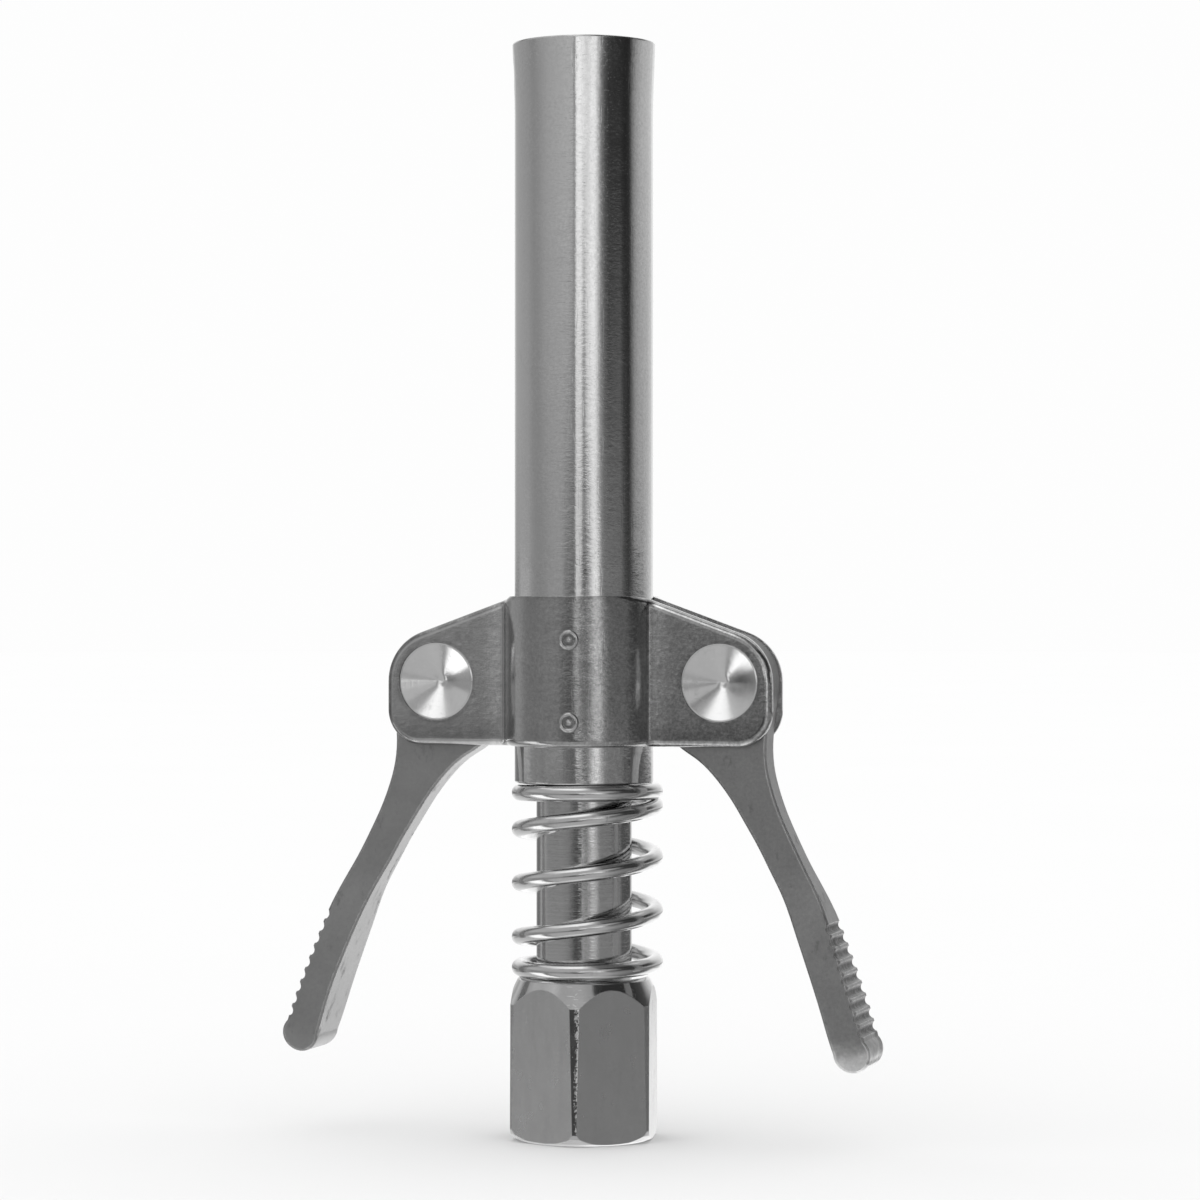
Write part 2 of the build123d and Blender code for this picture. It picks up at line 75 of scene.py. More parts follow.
# ------------------------------------------------------------ node helpers
class Tree:
    """Small helper that adds nodes to a tree and links them."""

    def __init__(self, tree):
        self.t = tree
        self.count = 0

    def add(self, kind, **props):
        n = self.t.nodes.new(kind)
        n.location = (-220 * (self.count % 12), -260 * (self.count // 12))
        self.count += 1
        for k, v in props.items():
            setattr(n, k, v)
        return n

    def put(self, socket, value):
        if isinstance(value, bpy.types.NodeSocket):
            self.t.links.new(value, socket)
        elif value is not None:
            socket.default_value = value

    def math(self, op, a, b=None, c=None, clamp=False):
        n = self.add("ShaderNodeMath", operation=op, use_clamp=clamp)
        self.put(n.inputs[0], a)
        self.put(n.inputs[1], b)
        if c is not None:
            self.put(n.inputs[2], c)
        return n.outputs[0]

    def vmath(self, op, a, b=None, scale=None):
        n = self.add("ShaderNodeVectorMath", operation=op)
        self.put(n.inputs[0], a)
        if b is not None:
            self.put(n.inputs[1], b)
        if scale is not None:
            self.put(n.inputs["Scale"], scale)
        return n.outputs["Value" if op in ("DOT_PRODUCT", "LENGTH", "DISTANCE") else "Vector"]

    def map_range(self, v, a0, a1, b0, b1, smooth=False):
        n = self.add("ShaderNodeMapRange")
        n.interpolation_type = "SMOOTHSTEP" if smooth else "LINEAR"
        n.clamp = True
        self.put(n.inputs["Value"], v)
        n.inputs["From Min"].default_value = a0
        n.inputs["From Max"].default_value = a1
        n.inputs["To Min"].default_value = b0
        n.inputs["To Max"].default_value = b1
        return n.outputs["Result"]

    def stretch(self, vec, scale, rot=(0, 0, 0), loc=(0, 0, 0)):
        n = self.add("ShaderNodeMapping")
        self.put(n.inputs["Vector"], vec)
        n.inputs["Scale"].default_value = scale
        n.inputs["Rotation"].default_value = rot
        n.inputs["Location"].default_value = loc
        return n.outputs["Vector"]

    def noise(self, vec, scale=1.0, detail=2.0, rough=0.5, distort=0.0):
        n = self.add("ShaderNodeTexNoise")
        self.put(n.inputs["Vector"], vec)
        n.inputs["Scale"].default_value = scale
        n.inputs["Detail"].default_value = detail
        n.inputs["Roughness"].default_value = rough
        n.inputs["Distortion"].default_value = distort
        return n.outputs[0]

    def voronoi(self, vec, scale=1.0, feature="F1", randomness=1.0):
        n = self.add("ShaderNodeTexVoronoi", feature=feature)
        self.put(n.inputs["Vector"], vec)
        n.inputs["Scale"].default_value = scale
        n.inputs["Randomness"].default_value = randomness
        return n.outputs["Distance"]

    def ramp(self, fac, stops, mode="LINEAR"):
        n = self.add("ShaderNodeValToRGB")
        n.color_ramp.interpolation = mode
        self.put(n.inputs[0], fac)
        els = n.color_ramp.elements
        while len(els) > 1:
            els.remove(els[-1])
        els[0].position = stops[0][0]
        c = stops[0][1]
        els[0].color = (c, c, c, 1) if not hasattr(c, "__len__") else (*c, 1)
        for p, c in stops[1:]:
            e = els.new(p)
            e.color = (c, c, c, 1) if not hasattr(c, "__len__") else (*c, 1)
        return n.outputs["Color"]

    def mix(self, fac, a, b, mode="MIX"):
        n = self.add("ShaderNodeMix", data_type="RGBA", blend_type=mode)
        self.put(n.inputs[0], fac)
        for i, v in ((6, a), (7, b)):
            if isinstance(v, (int, float)):
                v = (v, v, v, 1)
            elif isinstance(v, tuple) and len(v) == 3:
                v = (*v, 1)
            self.put(n.inputs[i], v)
        return n.outputs[2]

    def mixf(self, fac, a, b):
        n = self.add("ShaderNodeMix", data_type="FLOAT")
        self.put(n.inputs[0], fac)
        self.put(n.inputs[2], a)
        self.put(n.inputs[3], b)
        return n.outputs[0]


# ------------------------------------------------------------------- light
# A soft studio all round: wide diffusers, a bright strip beside the camera and
# a dark flag to its right. Azimuth is measured from the camera's direction,
# positive to the right; elevation from the horizontal.
world = bpy.data.worlds.new("studio")
scene.world = world
world.use_nodes = True
world.cycles.sampling_method = "NONE"
wt = Tree(world.node_tree)
world.node_tree.nodes.clear()
coord = wt.add("ShaderNodeTexCoord").outputs["Generated"]
direction = wt.vmath("NORMALIZE", coord)
side = wt.vmath("DOT_PRODUCT", direction, tuple(right))
ahead = wt.vmath("DOT_PRODUCT", direction, tuple(to_cam))
up = wt.vmath("DOT_PRODUCT", direction, (0, 0, 1))
beta = wt.math("MULTIPLY", wt.math("ARCTAN2", side, ahead), 180 / math.pi)
elev = wt.math("MULTIPLY", wt.math("ARCSINE", up), 180 / math.pi)
turn = wt.math("MULTIPLY_ADD", beta, 1 / 360, 0.5)
BOOST = 2.5


def band(stops):
    """Brightness round the object at one height, as (azimuth, value)."""
    made = [(b / 360 + 0.5, v / BOOST) for b, v in stops]
    return wt.ramp(turn, made)


# beside the upper sleeve, its middle, the bracket, the stem and the hexagon
by_mouth = band([(-180, 1.15), (-164, 0.75), (-152, 0.50), (-108, 0.41), (-92, 0.35), (-80, 0.40),
                 (-62, 0.50), (-40, 0.56), (-20, 0.62), (-17.5, 0.55), (-16, 0.30), (-14.2, 0.34), (-13, 1.25),
                 (-8, 1.35), (6, 1.0), (13, 1.25), (19, 1.20), (23, 0.74), (28, 0.28), (34, 0.10),
                 (41, 0.045), (74, 0.025), (81, 0.05), (86, 0.22), (94, 0.44), (107, 0.60),
                 (134, 0.72), (152, 0.92), (166, 1.1), (180, 1.2)])
by_sleeve = band([(-180, 1.15), (-164, 0.72), (-152, 0.50), (-108, 0.45), (-92, 0.36), (-82, 0.36),
                  (-66, 0.45), (-27, 0.52), (-21, 0.42), (-17.5, 0.36), (-15, 0.20), (-13.5, 1.05),
                  (-4, 1.05), (-1.5, 0.42), (1.0, 0.42), (3.5, 0.95), (10, 1.2), (17, 1.22),
                  (22, 0.78), (27, 0.36), (34, 0.16), (41, 0.09), (62, 0.14), (68, 0.06), (80, 0.035),
                  (84, 0.12), (95, 0.40), (107, 0.52), (130, 0.60), (150, 0.86), (166, 1.1), (180, 1.2)])
by_bracket = band([(-180, 0.9), (-164, 0.26), (-140, 0.26), (-129, 0.60), (-106, 0.62), (-94, 0.38), (-76, 0.33),
                   (-50, 0.41), (-38, 0.40), (-31, 0.22), (-18, 0.12), (-14.5, 0.14), (-12.5, 1.10), (-6, 0.75),
                   (-3, 0.03), (7, 0.03), (13, 0.80), (17, 1.40), (24, 1.35), (29, 0.34), (35, 0.27), (54, 0.27),
                   (64, 0.24), (71, 0.12), (84, 0.05), (100, 0.05), (110, 0.20), (125, 0.45),
                   (145, 0.95), (180, 1.2)])
by_waist = band([(-180, 1.15), (-164, 0.62), (-152, 0.42), (-130, 0.47), (-104, 0.43), (-90, 0.35), (-76, 0.34),
                 (-50, 0.42), (-36, 0.41), (-30, 0.30), (-18, 0.26), (-15.2, 0.22), (-13.5, 0.80), (-5, 0.70),
                 (-1, 0.30), (3, 0.32), (8, 0.66), (13, 0.98), (20, 0.95), (26, 0.40), (32, 0.24), (54, 0.20),
                 (64, 0.19), (71, 0.09), (80, 0.05), (84, 0.12), (94, 0.38), (112, 0.50), (130, 0.60), (150, 0.90),
                 (166, 1.1), (180, 1.2)])
by_skirt = band([(-180, 1.1), (-166, 0.50), (-157, 0.27), (-135, 0.16), (-120, 0.30), (-108, 0.26), (-97, 0.15), (-84, 0.12),
                 (-55, 0.13), (-20, 0.14), (-17, 0.22), (0, 0.22), (6.4, 0.28), (13, 0.46), (20, 0.44), (26.5, 0.24),
                 (33, 0.17), (47, 0.14), (64, 0.12), (72, 0.06), (87, 0.05), (97, 0.08), (107, 0.12), (134, 0.22),
                 (150, 0.62), (165, 1.0), (180, 1.1)])
by_stem = band([(-180, 1.0), (-160, 0.30), (-144, 0.18), (-136, 0.24), (-128, 0.52), (-112, 0.50), (-100, 0.36),
                (-60, 0.36), (-34, 0.35), (-26, 0.30), (-14, 0.22), (-7, 0.22), (-4, 0.86), (2, 0.60), (8, 0.66),
                (20, 0.92), (30, 0.88), (35, 0.42), (42, 0.30), (86, 0.30), (98, 0.28), (104, 0.12), (112, 0.07), (140, 0.08),
                (152, 0.20), (160, 0.60), (180, 1.0)])
by_foot = band([(-180, 1.0), (-160, 0.30), (-144, 0.18), (-136, 0.24), (-128, 0.48), (-112, 0.44), (-100, 0.35),
                (-56, 0.34), (-40, 0.24), (-32, 0.10), (-24, 0.03), (-9, 0.03), (-5, 0.34), (4, 0.16), (14, 0.18), (20, 0.46),
                (33, 0.54), (39, 0.34), (86, 0.30), (98, 0.28), (104, 0.14), (140, 0.12), (152, 0.25), (160, 0.60),
                (180, 1.0)])
by_hex = band([(-180, 1.0), (-160, 0.9), (-140, 0.44), (-90, 0.40), (-40, 0.37), (-28, 0.26), (-22, 0.08),
               (-6, 0.08), (-2, 0.50), (28, 0.47), (36, 0.27), (70, 0.27), (110, 0.27), (140, 0.7), (156, 1.2),
               (180, 1.2)])
low_top = band([(-180, 1.2), (-150, 0.9), (-134, 0.55), (-129, 0.30), (-120, 0.22), (-113, 0.50), (-100, 0.62), (-60, 0.54), (-20, 0.56),
                (10, 0.62), (28, 0.58), (42, 0.34), (56, 0.06), (100, 0.05), (118, 0.10), (134, 0.60), (152, 1.0), (180, 1.2)])
top_band = band([(-180, 1.0), (-128, 1.0), (-125, 0.24), (-116, 0.22), (-112, 0.50), (-86, 0.56), (-60, 0.70), (-44, 0.52),
                 (-20, 0.52), (14, 0.46), (20, 0.10), (28, 0.04), (97, 0.04), (101, 0.40), (106, 0.50), (180, 0.60)])
ceiling = band([(-180, 0.9), (-120, 1.0), (-92, 0.9), (-70, 1.3), (-38, 1.45), (-14, 1.35), (-6, 0.95), (4, 0.62), (20, 0.20),
                (80, 0.12), (104, 0.5), (130, 0.9), (180, 0.9)])
under = band([(-180, 0.9), (-125, 0.7), (-104, 0.62), (-97, 1.7), (-76, 1.7), (-73, 0.26), (-67, 0.22), (-60, 0.58),
              (30, 0.56), (54, 0.34), (90, 0.16), (112, 0.18), (126, 1.3), (180, 1.4)])
floor_band = band([(-180, 0.85), (-120, 0.7), (-60, 0.85), (-40, 1.0), (10, 0.9), (40, 0.7), (70, 0.55), (120, 0.6), (180, 0.85)])

light = wt.mix(wt.map_range(elev, -6.0, -5.3, 0, 1, True), by_hex, by_foot)
light = wt.mix(wt.map_range(elev, -4.3, -3.8, 0, 1, True), light, by_stem)
light = wt.mix(wt.map_range(elev, -2.95, -2.75, 0, 1, True), light, by_skirt)
light = wt.mix(wt.map_range(elev, -2.25, -2.05, 0, 1, True), light, by_bracket)
light = wt.mix(wt.map_range(elev, -0.02, 0.12, 0, 1, True), light, by_waist)
light = wt.mix(wt.map_range(elev, 0.9, 3.4, 0, 1, True), light, by_sleeve)
light = wt.mix(wt.map_range(elev, 3.6, 6.8, 0, 1, True), light, by_mouth)
light = wt.mix(wt.map_range(elev, 9.0, 13.0, 0, 1, True), light, low_top)
light = wt.mix(wt.map_range(elev, 30, 36, 0, 1, True), light, top_band)
light = wt.mix(wt.map_range(elev, 45, 50, 0, 1, True), light, ceiling)
light = wt.mix(wt.map_range(elev, -14, -18, 0, 1, True), light, under)
light = wt.mix(wt.map_range(elev, -60, -68, 0, 1, True), light, floor_band)
light = wt.mix(1.0, light, BOOST, "MULTIPLY")
path = wt.add("ShaderNodeLightPath")
light = wt.mix(path.outputs["Is Diffuse Ray"], light, 1.24)
light = wt.mix(path.outputs["Is Camera Ray"], light, 0.985)
back = wt.add("ShaderNodeBackground")
wt.put(back.inputs["Color"], light)
out = wt.add("ShaderNodeOutputWorld")
wt.put(out.inputs["Surface"], back.outputs[0])


# --------------------------------------------------------------- materials
def start(name):
    m = bpy.data.materials.new(name)
    m.use_nodes = True
    t = Tree(m.node_tree)
    m.node_tree.nodes.clear()
    out = t.add("ShaderNodeOutputMaterial")
    p = t.add("ShaderNodeBsdfPrincipled")
    t.put(out.inputs["Surface"], p.outputs[0])
    obj = t.add("ShaderNodeTexCoord").outputs["Object"]
    mm = t.vmath("SCALE", obj, scale=1000.0)
    return m, t, p, mm


def bevel(t, radius_mm):
    n = t.add("ShaderNodeBevel")
    n.samples = 4
    n.inputs["Radius"].default_value = radius_mm / 1000
    return n.outputs[0]


def bump(t, height, depth_mm, normal=None):
    n = t.add("ShaderNodeBump")
    n.inputs["Strength"].default_value = 1.0
    n.inputs["Distance"].default_value = depth_mm / 1000
    t.put(n.inputs["Height"], height)
    if normal is not None:
        t.put(n.inputs["Normal"], normal)
    return n.outputs[0]


def edge_mask(t, rounded, lo=0.02, hi=0.16):
    """1 where the rounded normal leaves the true one, which is along edges."""
    true = t.add("ShaderNodeNewGeometry").outputs["Normal"]
    dot = t.vmath("DOT_PRODUCT", rounded, true)
    return t.map_range(t.math("SUBTRACT", 1.0, dot), lo, hi, 0, 1, True)


def scratches(t, mm, seed, along, density=0.5):
    """Thin straight marks: noise stretched along one direction, cut high."""
    v = t.stretch(mm, along, loc=(seed * 3.7, seed * 1.9, seed * 5.3))
    n = t.noise(v, 1.0, 1.0, 0.5)
    return t.map_range(n, 0.66 - 0.03 * density, 0.70 - 0.03 * density, 0, 1, True)


def steel(name, base, rough, grain, *, eye=None, outer=0, rub=0.0, peel=0.0012, peel_scale=0.55, streak=0.0, fine=0.0, mottle=0.06, wear=0.10,
          bevel_mm=0.12, rough_var=0.05, dents=0.0, dirt=0.10, lathe=0.0, turned=None, underside_shade=None, grooves=None, grit=0.0,
           edge_darkening=0.0, corner=None, ripple=0.0, ripple_scale=(1.3, 1.3, 4.0), plumb=False, pressed=None):
    """Plated steel. grain is the stretch of the brushing in 1/mm, long marks along the axis with the small number.
    turned is the roughness of faces that slope upwards, cut on a lathe. underside_shade darkens faces that look down,
    as painted shade.
    grooves is (point, inward direction) of a row of teeth in mm, whose hollows are darker in patches. grit is the
    contrast of the fine speckle, edge_darkening the darkening along edges and corners in patches, corner the radius in
    mm, and its gain per mm of height, past which the bar's turned corners are bruised, the corner facing the front
    painted dark as shade. ripple is the depth in mm of fine uneven plating, plumb ignores
    the slight lean of walls in the shading, pressed is the distance in mm from the middle where a pressing's ears
    begin:
    painted highlight there, along their rolled edge and on the wrap's ring beads, painted shade in the bend, along the
    left ear's rolled edge and in the cut faces, painted light on the left ear's flat faces and on the faces inside the
    gap, the ears darker towards their bottom edge. eye is the pivot in mm (x, z) of a lever, whose round rim is darker;
    outer is the side (-1 or 1) its outer edge faces, whose edge faces and arris are painted lighter as highlights, rub
    the gain of its hand-polished tip."""
    m, t, p, mm = start(name)
    p.inputs["Metallic"].default_value = 1.0
    rounded = bevel(t, bevel_mm)
    facing = t.add("ShaderNodeSeparateXYZ")
    t.put(facing.inputs[0], t.add("ShaderNodeNewGeometry").outputs["Normal"])
    brush = t.noise(t.stretch(mm, grain), 1.0, 4.0, 0.62)
    cloud = t.noise(mm, 0.22, 4.0, 0.6)
    speck = t.noise(mm, 2.3, 3.0, 0.6)
    edge = edge_mask(t, rounded)
    ragged = t.map_range(t.noise(mm, 1.7, 4.0, 0.65), 0.36, 0.60, 0, 1, True)
    worn = t.math("MULTIPLY", edge, ragged)
    # colour: clouded plating, brushing, darker film in places, brighter worn edges
    shade = t.math("MULTIPLY_ADD", t.math("SUBTRACT", cloud, 0.5), mottle * 2, 1.0)
    shade = t.math("MULTIPLY", shade, t.math("MULTIPLY_ADD", t.math("SUBTRACT", brush, 0.5), mottle * 1.4, 1.0))
    shade = t.math("MULTIPLY", shade, t.math("MULTIPLY_ADD", t.math("SUBTRACT", speck, 0.5), mottle * 1.6, 1.0))
    film = t.map_range(t.noise(t.stretch(mm, (0.5, 0.5, 0.3), loc=(9, 4, 2)), 1.0, 5.0, 0.68), 0.56, 0.74, 0, 1, True)
    shade = t.math("MULTIPLY", shade, t.math("MULTIPLY_ADD", film, -dirt, 1.0))
    shade = t.math("MULTIPLY", shade, t.math("MULTIPLY_ADD", worn, wear, 1.0))
    if grit:
        grain_dots = t.noise(mm, 2.7, 4.0, 0.72)
        spread = t.math("ADD", t.noise(mm, 0.13, 2.0, 0.5), t.math("MULTIPLY", t.vmath("DOT_PRODUCT", mm, (1, 0, 0)), 0.03))
        coarse = t.math("MULTIPLY", t.math("SUBTRACT", grain_dots, 0.5), t.map_range(spread, 0.2, 0.9, 0.10, 1.25))
        shade = t.math("MULTIPLY", shade, t.math("MULTIPLY_ADD", coarse, grit * 2, 1.0))
    # darker along the edges and corners, in patches, less so beside the ears' bend
    if edge_darkening:
        wide = edge_mask(t, bevel(t, 0.9), 0.002, 0.09)
        patch = t.map_range(t.noise(mm, 0.8, 5.0, 0.7), 0.34, 0.62, 0.15, 1.0, True)
        darker_edges = t.math("MULTIPLY", wide, patch)
        if pressed:
            beside = t.add("ShaderNodeSeparateXYZ")
            t.put(beside.inputs[0], mm)
            fold = t.math("ABSOLUTE", t.math("SUBTRACT", t.math("ABSOLUTE", beside.outputs[0]), pressed))
            darker_edges = t.math("MULTIPLY", darker_edges, t.map_range(fold, 0.5, 1.3, 0.15, 1.0))
        shade = t.math("MULTIPLY", shade, t.math("MULTIPLY_ADD", darker_edges, -edge_darkening, 1.0))
    if corner:
        radius, taper = corner
        out_by = t.vmath("LENGTH", t.stretch(mm, (1, 1, 0)))
        level = t.add("ShaderNodeSeparateXYZ")
        t.put(level.inputs[0], mm)
        out_by = t.math("MULTIPLY_ADD", level.outputs[2], taper, out_by)
        strip = t.map_range(out_by, radius - 0.045, radius - 0.018, 0, 1)
        strip = t.math("MULTIPLY", strip, t.map_range(facing.outputs[2], 0.10, 0.20, 1, 0))
        round_z = t.math("MULTIPLY", t.math("ARCTAN2", level.outputs[1], level.outputs[0]), 180 / math.pi)
        off = t.math("SUBTRACT", t.math("FLOORED_MODULO", t.math("ADD", round_z, 80.65 + 390), 60.0), 30.0)
        chips = t.noise(t.stretch(mm, (2.6, 2.6, 2.0)), 1.0, 4.0, 0.72)
        chips = t.math("MULTIPLY_ADD", off, 0.060, chips)
        bruise = t.map_range(chips, 0.58, 0.63, 0, 1, True)
        # painted shade: the turned corner facing the front is painted dark, its bruises much brighter; the other
        # corners only a little darker
        front_corner_shade = t.map_range(t.math("ABSOLUTE", t.math("ADD", round_z, 80.65)), 20, 40, 1.0, 0.0)
        strip_shade = t.mixf(front_corner_shade, t.math("MULTIPLY_ADD", bruise, 0.16, 0.82), t.math("MULTIPLY_ADD", bruise, 1.30, 0.28))
        shade = t.math("MULTIPLY", shade, t.mixf(strip, 1.0, strip_shade))
    if pressed:
        place = t.add("ShaderNodeSeparateXYZ")
        t.put(place.inputs[0], mm)
        across = t.math("ABSOLUTE", place.outputs[0])
        turned_y = t.math("ABSOLUTE", facing.outputs[1])
        on_ear = t.map_range(across, pressed - 0.35, pressed + 0.25, 0, 1, True)
        roll = t.math("MULTIPLY", t.map_range(turned_y, 0.955, 0.90, 0, 1, True), t.map_range(turned_y, 0.22, 0.40, 0, 1, True))
        roll = t.math("MULTIPLY", roll, on_ear)
        roll = t.math("MULTIPLY", roll, t.map_range(t.noise(mm, 1.6, 4.0, 0.7), 0.30, 0.60, 0.45, 1.0, True))
        # painted shade: the cut faces of the ears a little darker
        cut = t.math("MULTIPLY", t.map_range(turned_y, 0.10, 0.22, 1, 0, True), on_ear)
        # painted highlight: the ears lighter in patches next to the bend
        root = t.math("MULTIPLY", on_ear, t.map_range(across, pressed + 0.5, pressed + 2.5, 1, 0, True))
        root = t.math("MULTIPLY", root, t.map_range(t.noise(mm, 1.5, 4.0, 0.7), 0.34, 0.64, 0.45, 1.0, True))
        # painted shade: the bend between the wrap and the ears darker, more on the right, in patches
        bend_shade = t.math("MULTIPLY", t.map_range(across, pressed - 0.60, pressed - 0.45, 0, 1), t.map_range(across, pressed + 0.20, pressed + 0.30, 1, 0))
        bend_shade = t.math("MULTIPLY", bend_shade, t.map_range(turned_y, 0.985, 0.96, 0, 1))
        bend_shade = t.math("MULTIPLY", bend_shade, t.map_range(place.outputs[0], -4.0, 4.0, 0.05, 0.7))
        bend_shade = t.math("MULTIPLY", bend_shade, t.map_range(t.noise(mm, 2.4, 4.0, 0.75), 0.35, 0.60, 0.5, 1.0, True))
        # painted highlight: the ring beads on the wrap lighter
        shelf = t.vmath("LENGTH", t.stretch(mm, (1, 1, 0)))
        bead = t.math("MULTIPLY", t.map_range(shelf, 8.625, 8.68, 0, 1), t.map_range(across, 3.0, 3.2, 1, 0))
        shade = t.math("MULTIPLY", shade, t.math("MULTIPLY_ADD", bead, 0.50, 1.0))
        shade = t.math("MULTIPLY", shade, t.math("MULTIPLY_ADD", bend_shade, -0.62, 1.0))
        # painted shade on the left ear's rolled edges that don't look down, painted highlight on the other rolled
        # edges, weaker where they look up
        leftward = t.map_range(place.outputs[0], -4.0, 4.0, 1, 0, True)
        left_rim_shade = t.map_range(facing.outputs[2], -0.40, -0.15, 0, 1, True)
        left_rim_shade = t.math("MULTIPLY", leftward, t.math("MAXIMUM", left_rim_shade, t.map_range(facing.outputs[0], -0.05, -0.20, 0, 1, True)))
        upward = t.map_range(facing.outputs[2], 0.60, 0.80, 0.60, 0.15, True)
        shade = t.math("MULTIPLY", shade, t.math("MULTIPLY_ADD", roll, t.mixf(left_rim_shade, upward, -0.50), 1.0))
        # painted light: the ear faces that look into the gap are lighter, and rougher
        gap_faces = t.map_range(t.math("MULTIPLY", facing.outputs[1], place.outputs[1]), -1.4, -1.8, 0, 1, True)
        shade = t.math("MULTIPLY", shade, t.math("MULTIPLY_ADD", gap_faces, 0.50, 1.0))
        # the ears darker towards their bottom edge, in patches
        low = t.math("MULTIPLY", t.map_range(place.outputs[2], 43.2, 46.2, 1, 0, True), on_ear)
        low = t.math("MULTIPLY", low, t.map_range(place.outputs[2], 42.9, 43.4, 0, 1, True))
        low = t.math("MULTIPLY", low, t.map_range(t.noise(mm, 0.9, 4.0, 0.7), 0.30, 0.62, 0.55, 1.0, True))
        shade = t.math("MULTIPLY", shade, t.math("MULTIPLY_ADD", low, -0.34, 1.0))
        # painted light: the left ear's flat faces lighter
        left_ear_light = t.math("MULTIPLY", t.math("MULTIPLY", leftward, on_ear), t.map_range(turned_y, 0.955, 0.985, 0, 1, True))
        shade = t.math("MULTIPLY", shade, t.math("MULTIPLY_ADD", left_ear_light, 0.20, 1.0))
        shade = t.math("MULTIPLY", shade, t.math("MULTIPLY_ADD", cut, -0.12, 1.0))
        shade = t.math("MULTIPLY", shade, t.math("MULTIPLY_ADD", root, 0.42, 1.0))
    if lathe:
        turning = t.noise(t.stretch(mm, (0.03, 0.03, 5.5), loc=(3, 8, 1)), 1.0, 3.0, 0.75)
        shade = t.math("MULTIPLY", shade, t.math("MULTIPLY_ADD", t.math("SUBTRACT", turning, 0.5), 0.30, 1.0))
    if eye:
        # the eye's round rim darker
        from_eye = t.vmath("LENGTH", t.stretch(t.vmath("SUBTRACT", mm, (eye[0], 0.0, eye[1])), (1, 0, 1)))
        rim = t.math("MULTIPLY", t.map_range(from_eye, 5.8, 5.55, 0, 1), t.map_range(t.math("ABSOLUTE", facing.outputs[1]), 0.3, 0.6, 1, 0))
        shade = t.math("MULTIPLY", shade, t.math("MULTIPLY_ADD", rim, -0.50, 1.0))
    if outer:
        # painted highlights: the lever's outer and inner edge faces and its arris lighter
        flat = t.math("ABSOLUTE", facing.outputs[1])
        edgewise = t.map_range(flat, 0.15, 0.35, 1, 0, True)
        outer_side_light = t.math("MULTIPLY", edgewise, t.map_range(t.math("MULTIPLY", facing.outputs[0], float(outer)), 0.2, 0.5, 0, 1, True))
        outer_side_light = t.math("MULTIPLY", outer_side_light, t.map_range(t.noise(mm, 1.1, 4.0, 0.7), 0.30, 0.62, 0.65, 1.0, True))
        shade = t.math("MULTIPLY", shade, t.math("MULTIPLY_ADD", outer_side_light, 0.32, 1.0))
        inside = t.math("MULTIPLY", edgewise, t.map_range(t.math("MULTIPLY", facing.outputs[0], -float(outer)), 0.2, 0.5, 0, 1, True))
        shade = t.math("MULTIPLY", shade, t.math("MULTIPLY_ADD", inside, 0.65, 1.0))
        arris_highlight = t.math("MULTIPLY", t.map_range(flat, 0.20, 0.42, 0, 1, True), t.map_range(flat, 0.985, 0.93, 0, 1, True))
        arris_highlight = t.math("MULTIPLY", arris_highlight, t.map_range(facing.outputs[0], 0.1, 0.3, 0, 1, True))
        shade = t.math("MULTIPLY", shade, t.math("MULTIPLY_ADD", arris_highlight, 0.95 if outer > 0 else 0.50, 1.0))
    if rub:
        height_mm = t.add("ShaderNodeSeparateXYZ")
        t.put(height_mm.inputs[0], mm)
        uneven_z = t.math("MULTIPLY_ADD", t.noise(mm, 0.5, 3.0, 0.6), 4.0, height_mm.outputs[2])
        polished = t.map_range(uneven_z, 14.0, 10.5, 0, 1, True)
        shade = t.math("MULTIPLY", shade, t.math("MULTIPLY_ADD", polished, rub, 1.0))
    # painted shade: faces that look down are darkened
    if underside_shade:
        underside_dark = t.map_range(facing.outputs[2], -0.97, -0.90, underside_shade, 1.0)
        shade = t.math("MULTIPLY", shade, underside_dark)
    if grooves:
        point, inward = grooves
        depth = t.math("SUBTRACT", t.vmath("DOT_PRODUCT", mm, inward), Vector(point).dot(Vector(inward)))
        uneven = t.math("MULTIPLY_ADD", t.noise(mm, 1.3, 3.0, 0.6), 0.30, -0.15)
        depth = t.math("ADD", depth, uneven)
        deep = t.math("MULTIPLY", t.map_range(depth, 0.06, 0.34, 0, 1, True), t.map_range(depth, 0.50, 0.80, 1, 0, True))
        high = t.add("ShaderNodeSeparateXYZ")
        t.put(high.inputs[0], mm)
        deep = t.math("MULTIPLY", deep, t.map_range(high.outputs[2], 24.8, 25.4, 1, 0, True))
        flank = t.map_range(t.math("ABSOLUTE", facing.outputs[1]), 0.55, 0.85, 1, 0, True)
        deep = t.math("MULTIPLY", deep, flank)
        # the tooth hollows darker, in patches
        hollow_patches = t.map_range(t.noise(mm, 2.2, 4.0, 0.7), 0.30, 0.62, 0.35, 1.0, True)
        shade = t.math("MULTIPLY", shade, t.math("MULTIPLY_ADD", t.math("MULTIPLY", deep, hollow_patches), -0.72, 1.0))
    rgb = t.vmath("SCALE", tuple(base), scale=shade)
    t.put(p.inputs["Base Color"], rgb)
    # roughness
    r = t.math("MULTIPLY_ADD", t.math("SUBTRACT", brush, 0.5), rough_var * 1.6, rough)
    r = t.math("MULTIPLY_ADD", t.math("SUBTRACT", cloud, 0.5), rough_var, r)
    r = t.math("MULTIPLY_ADD", film, rough * 0.5, r)
    r = t.math("MULTIPLY_ADD", worn, -rough * 0.4, r, clamp=True)
    if pressed:
        r = t.mixf(gap_faces, r, 0.72)
    if turned:
        smooth = t.map_range(facing.outputs[2], 0.12, 0.30, 0, 1)
        r = t.mixf(smooth, r, turned)
    t.put(p.inputs["Roughness"], t.math("MAXIMUM", r, 0.03))
